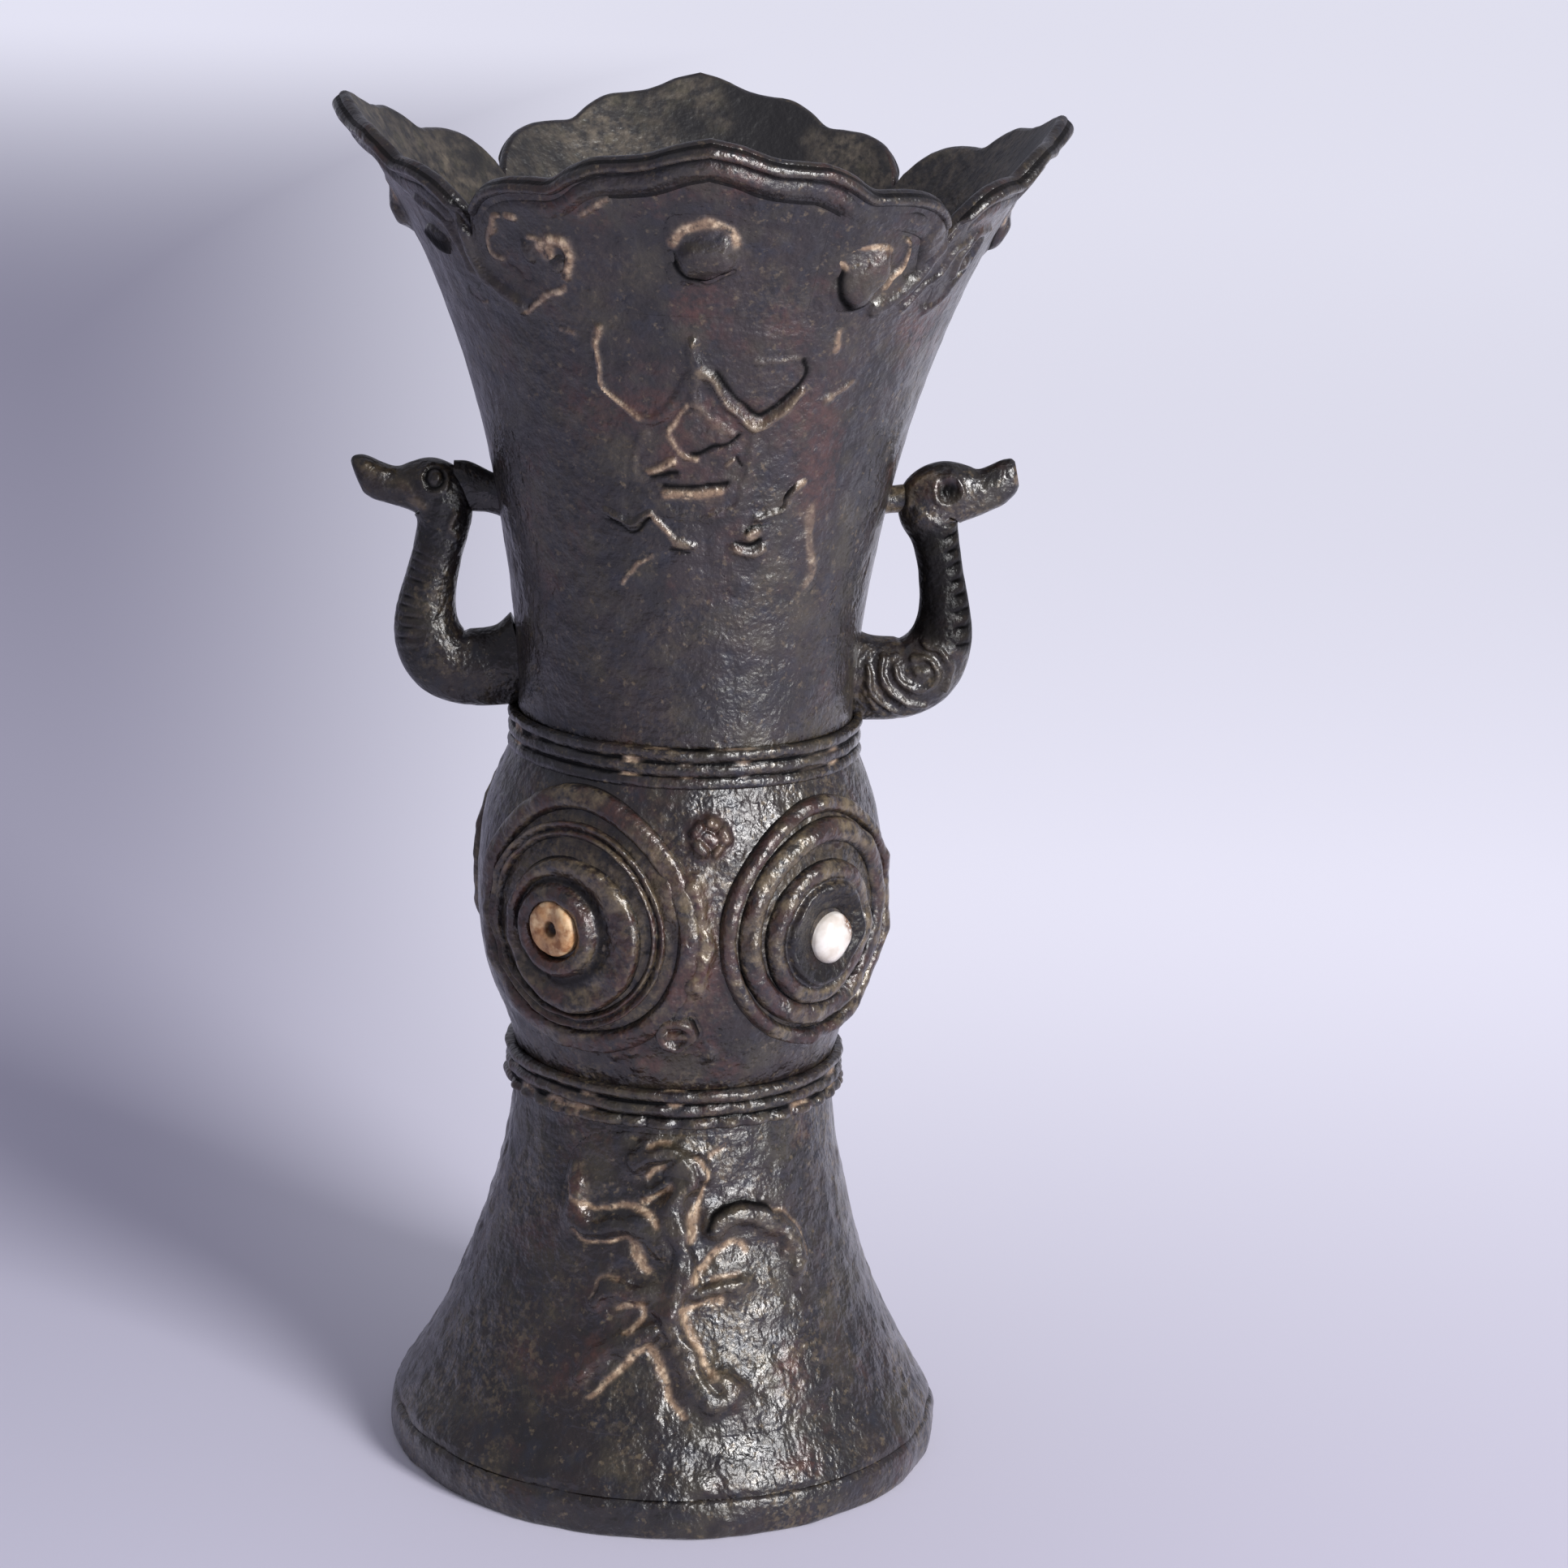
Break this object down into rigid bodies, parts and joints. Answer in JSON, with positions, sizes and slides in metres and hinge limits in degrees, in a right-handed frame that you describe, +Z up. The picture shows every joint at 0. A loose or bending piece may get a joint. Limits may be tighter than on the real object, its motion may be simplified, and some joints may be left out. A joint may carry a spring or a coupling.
{
  "type": "twin-handled vase",
  "caption": "Trumpet-mouthed bronze vase with a petalled rim, a round knop with inlaid eyes, a flared foot and bird handles.",
  "frame": {"origin": "centre of the foot, on the surface the vase stands on", "axes": "+Z up through the mouth, -Y towards the front face, +X and -X towards the two bird handles"},
  "size_m": [0.1398, 0.1398, 0.2699],
  "materials": {
    "bronze_body": "dark brown-black patina, pitted, half gloss",
    "bronze_trim": "dark patina worn to brown on the ridges, with tan earth in the recesses",
    "bronze_inside": "matt grey-green mottled patina",
    "bone": "stained bone disc with a drilled centre",
    "shell": "polished white shell with brown specks"
  },
  "bodies": {
    "root": {"foot": "bronze_body", "foot_band": "bronze_body", "floor_disc": "bronze_inside", "knop": "bronze_body", "beaker": "bronze_body", "lower_collar": "bronze_trim", "upper_collar": "bronze_trim", "edging_front": "bronze_trim", "edging_right": "bronze_trim", "edging_back": "bronze_trim", "edging_left": "bronze_trim", "petal_boss_front": "bronze_trim", "petal_boss_right": "bronze_trim", "petal_boss_back": "bronze_trim", "petal_boss_left": "bronze_trim", "scroll_front_right": "bronze_trim", "scroll_right_back": "bronze_trim", "scroll_back_left": "bronze_trim", "scroll_left_front": "bronze_trim", "corner_boss_front_right_1": "bronze_trim", "corner_boss_front_right_2": "bronze_trim", "corner_boss_right_back_1": "bronze_trim", "corner_boss_right_back_2": "bronze_trim", "corner_boss_back_left_1": "bronze_trim", "corner_boss_back_left_2": "bronze_trim", "corner_boss_left_front_1": "bronze_trim", "corner_boss_left_front_2": "bronze_trim", "front_left_eye_outer_ring": "bronze_trim", "front_left_eye_middle_ring": "bronze_trim", "front_left_eye_socket": "bronze_trim", "front_left_eye_pupil": "bone", "front_right_eye_outer_ring": "bronze_trim", "front_right_eye_middle_ring": "bronze_trim", "front_right_eye_socket": "bronze_trim", "front_right_eye_pupil": "shell", "back_left_eye_outer_ring": "bronze_trim", "back_left_eye_middle_ring": "bronze_trim", "back_left_eye_socket": "bronze_trim", "back_left_eye_pupil": "bone", "back_right_eye_outer_ring": "bronze_trim", "back_right_eye_middle_ring": "bronze_trim", "back_right_eye_socket": "bronze_trim", "back_right_eye_pupil": "shell", "front_upper_knop_boss": "bronze_trim", "front_lower_knop_boss": "bronze_trim", "back_upper_knop_boss": "bronze_trim", "back_lower_knop_boss": "bronze_trim", "front_mask": "bronze_trim", "front_left_whisker": "bronze_trim", "front_right_whisker": "bronze_trim", "back_mask": "bronze_trim", "back_left_whisker": "bronze_trim", "back_right_whisker": "bronze_trim", "front_creature": "bronze_trim", "back_creature": "bronze_trim", "right_bird": "bronze_body", "left_bird": "bronze_body", "right_strut": "bronze_trim", "left_strut": "bronze_trim"}
  },
  "joints": []
}
